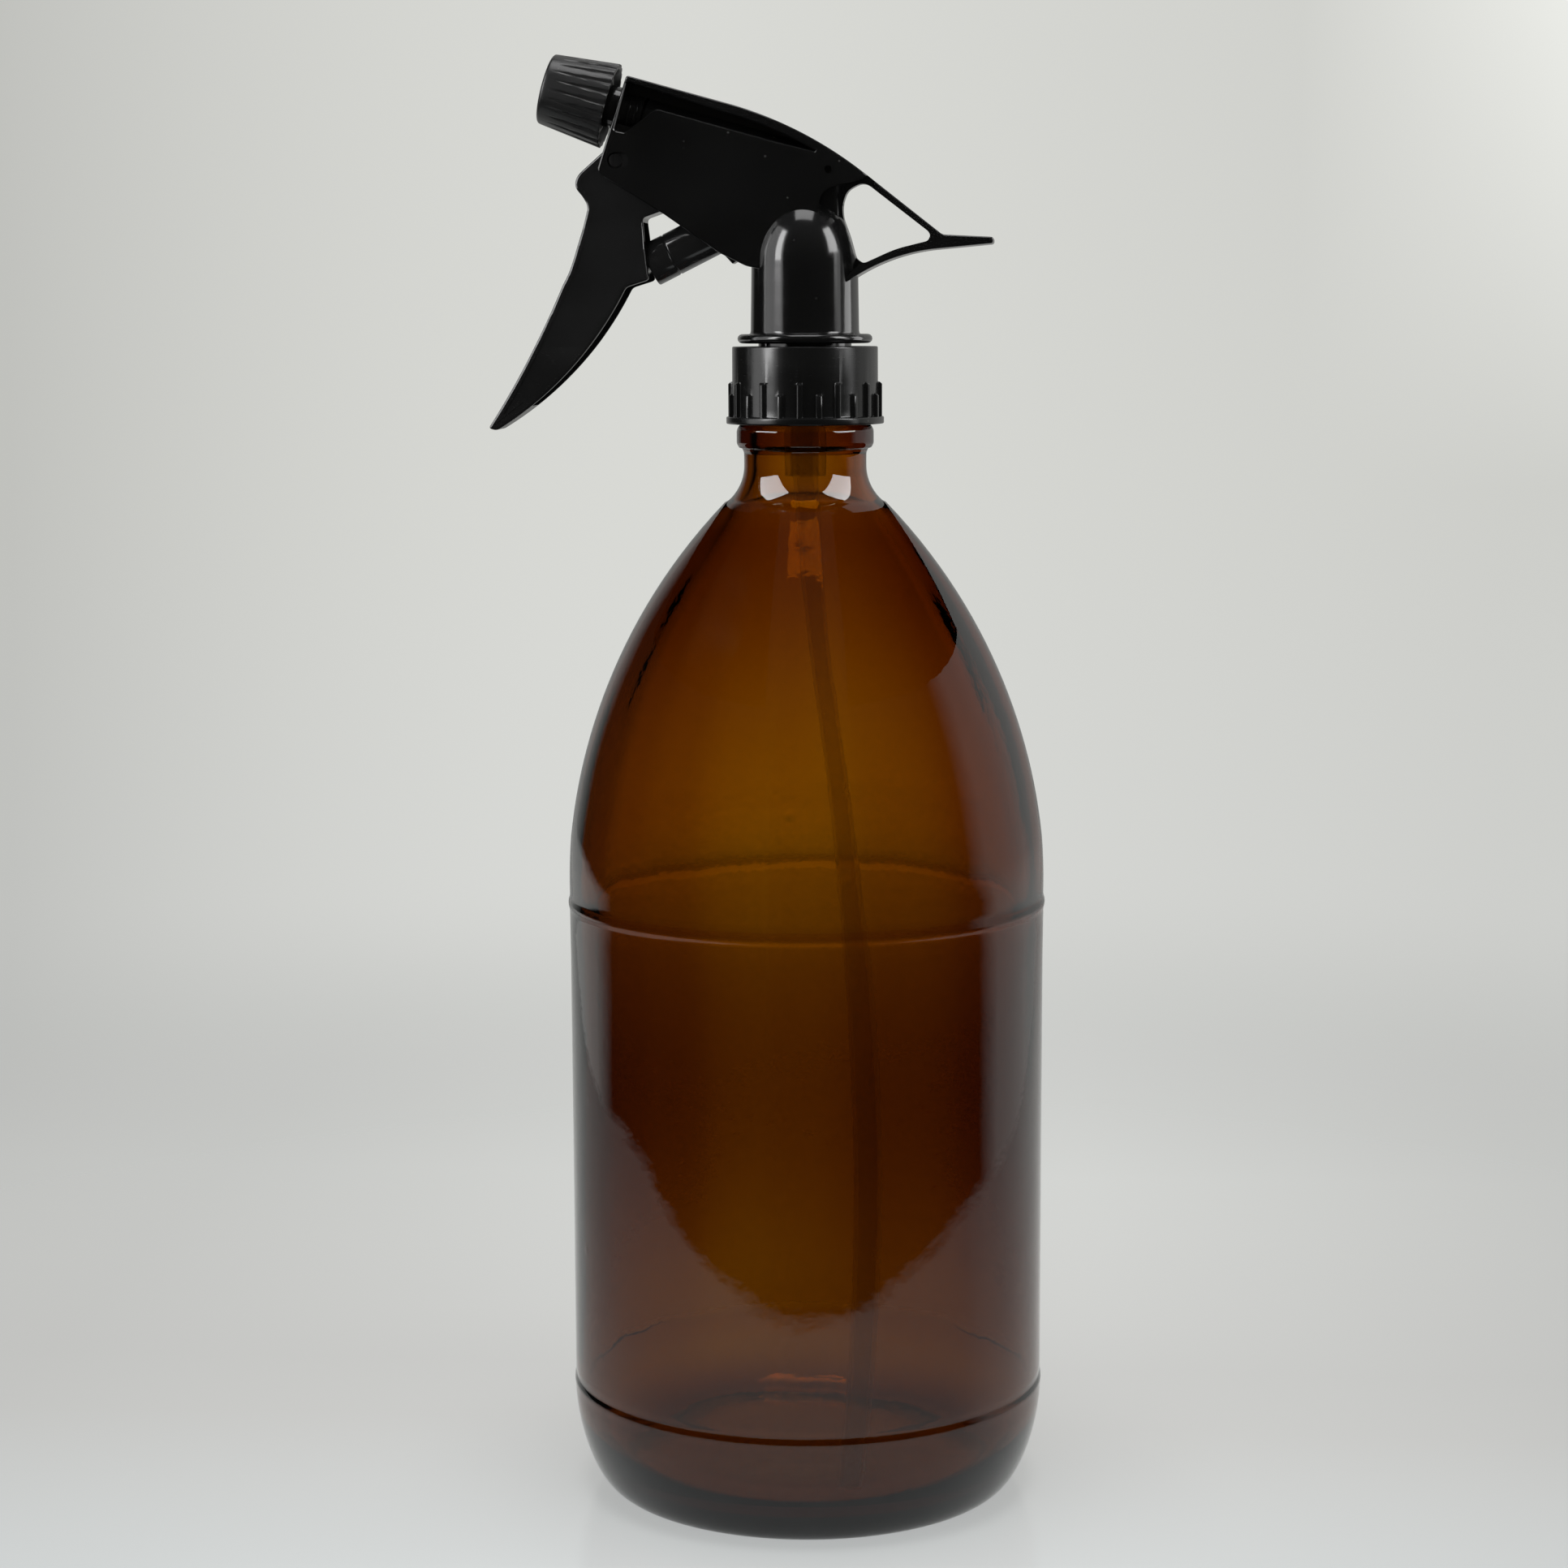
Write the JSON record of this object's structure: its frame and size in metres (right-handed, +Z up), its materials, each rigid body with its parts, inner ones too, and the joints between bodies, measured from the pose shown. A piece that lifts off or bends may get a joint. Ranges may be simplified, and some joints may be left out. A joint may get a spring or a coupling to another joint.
{
  "type": "spray bottle",
  "caption": "Tall round amber glass bottle with a screw-on black trigger sprayer, adjustable nozzle and bowed dip tube.",
  "frame": {"origin": "on the bottle's axis at the standing plane, claimed on the base panel recessed 1.2 mm above it", "axes": "+Z up along the bottle's axis, -X the way the nozzle points, +X towards the tail"},
  "size_m": [0.1095, 0.095, 0.2848],
  "materials": {
    "amber_glass": "clear amber, polished",
    "black_plastic": "gloss",
    "nozzle_plastic": "semi-gloss",
    "natural_plastic": "satin",
    "tube_plastic": "translucent natural",
    "seal_rubber": "matt",
    "spring_steel": "bright"
  },
  "bodies": {
    "bottle": {"glass_bottle": "amber_glass"},
    "closure_seal": {"neck_gasket": "seal_rubber"},
    "collar": {"screw_collar": "black_plastic"},
    "sprayer": {"sprayer_body": "black_plastic", "inlet_stem": "natural_plastic", "dip_tube": "tube_plastic", "return_spring": "spring_steel", "outlet_spring": "spring_steel", "swirl_core": "natural_plastic", "spigot_o_ring": "seal_rubber"},
    "trigger": {"trigger_lever": "black_plastic"},
    "pump_piston": {"piston": "black_plastic", "piston_seal": "natural_plastic"},
    "nozzle_seal": {"nozzle_gasket": "seal_rubber"},
    "nozzle": {"nozzle_cap": "nozzle_plastic"},
    "inlet_valve": {"inlet_ball": "spring_steel"},
    "outlet_valve": {"outlet_ball": "spring_steel"}
  },
  "joints": [
    {"name": "head_lift", "type": "slide", "parent": "bottle", "child": "closure_seal", "axis": [0, 0, 1], "range_m": [0, 0.006]},
    {"name": "collar_turn", "type": "hinge", "parent": "closure_seal", "child": "collar", "pos_m": [0, 0, 0.2209], "axis": [0, 0, 1], "range_deg": [0, 540]},
    {"name": "head_swivel", "type": "hinge", "parent": "closure_seal", "child": "sprayer", "pos_m": [0, 0, 0.2275], "axis": [0, 0, 1], "continuous": true},
    {"name": "trigger_squeeze", "type": "hinge", "parent": "sprayer", "child": "trigger", "pos_m": [-0.0362, 0, 0.2642], "axis": [0, -1, 0], "range_deg": [0, 20], "stiffness_Nm_per_rad": 0.6, "springref_deg": -8.59},
    {"name": "piston_stroke", "type": "slide", "parent": "sprayer", "child": "pump_piston", "axis": [0.8949, 0, 0.4462], "range_m": [0, 0.0074], "deforming": ["return_spring"]},
    {"name": "nozzle_advance", "type": "slide", "parent": "sprayer", "child": "nozzle_seal", "axis": [-0.9632, 0, 0.2689], "range_m": [0, 0.0015]},
    {"name": "nozzle_turn", "type": "hinge", "parent": "nozzle_seal", "child": "nozzle", "pos_m": [-0.0364, 0, 0.2744], "axis": [-0.9632, 0, 0.2689], "range_deg": [0, 216]},
    {"name": "inlet_ball_lift", "type": "slide", "parent": "sprayer", "child": "inlet_valve", "axis": [0, 0, 1], "range_m": [0, 0.0012]},
    {"name": "outlet_ball_lift", "type": "slide", "parent": "sprayer", "child": "outlet_valve", "axis": [-0.9632, 0, 0.2689], "range_m": [0, 0.001], "deforming": ["outlet_spring"]}
  ],
  "couplings": [
    {"joint": "collar_turn", "follows": "head_lift", "rad_per_m": 1570.8},
    {"joint": "piston_stroke", "follows": "trigger_squeeze", "m_per_rad": 0.0211},
    {"joint": "nozzle_turn", "follows": "nozzle_advance", "rad_per_m": 2513.3}
  ]
}
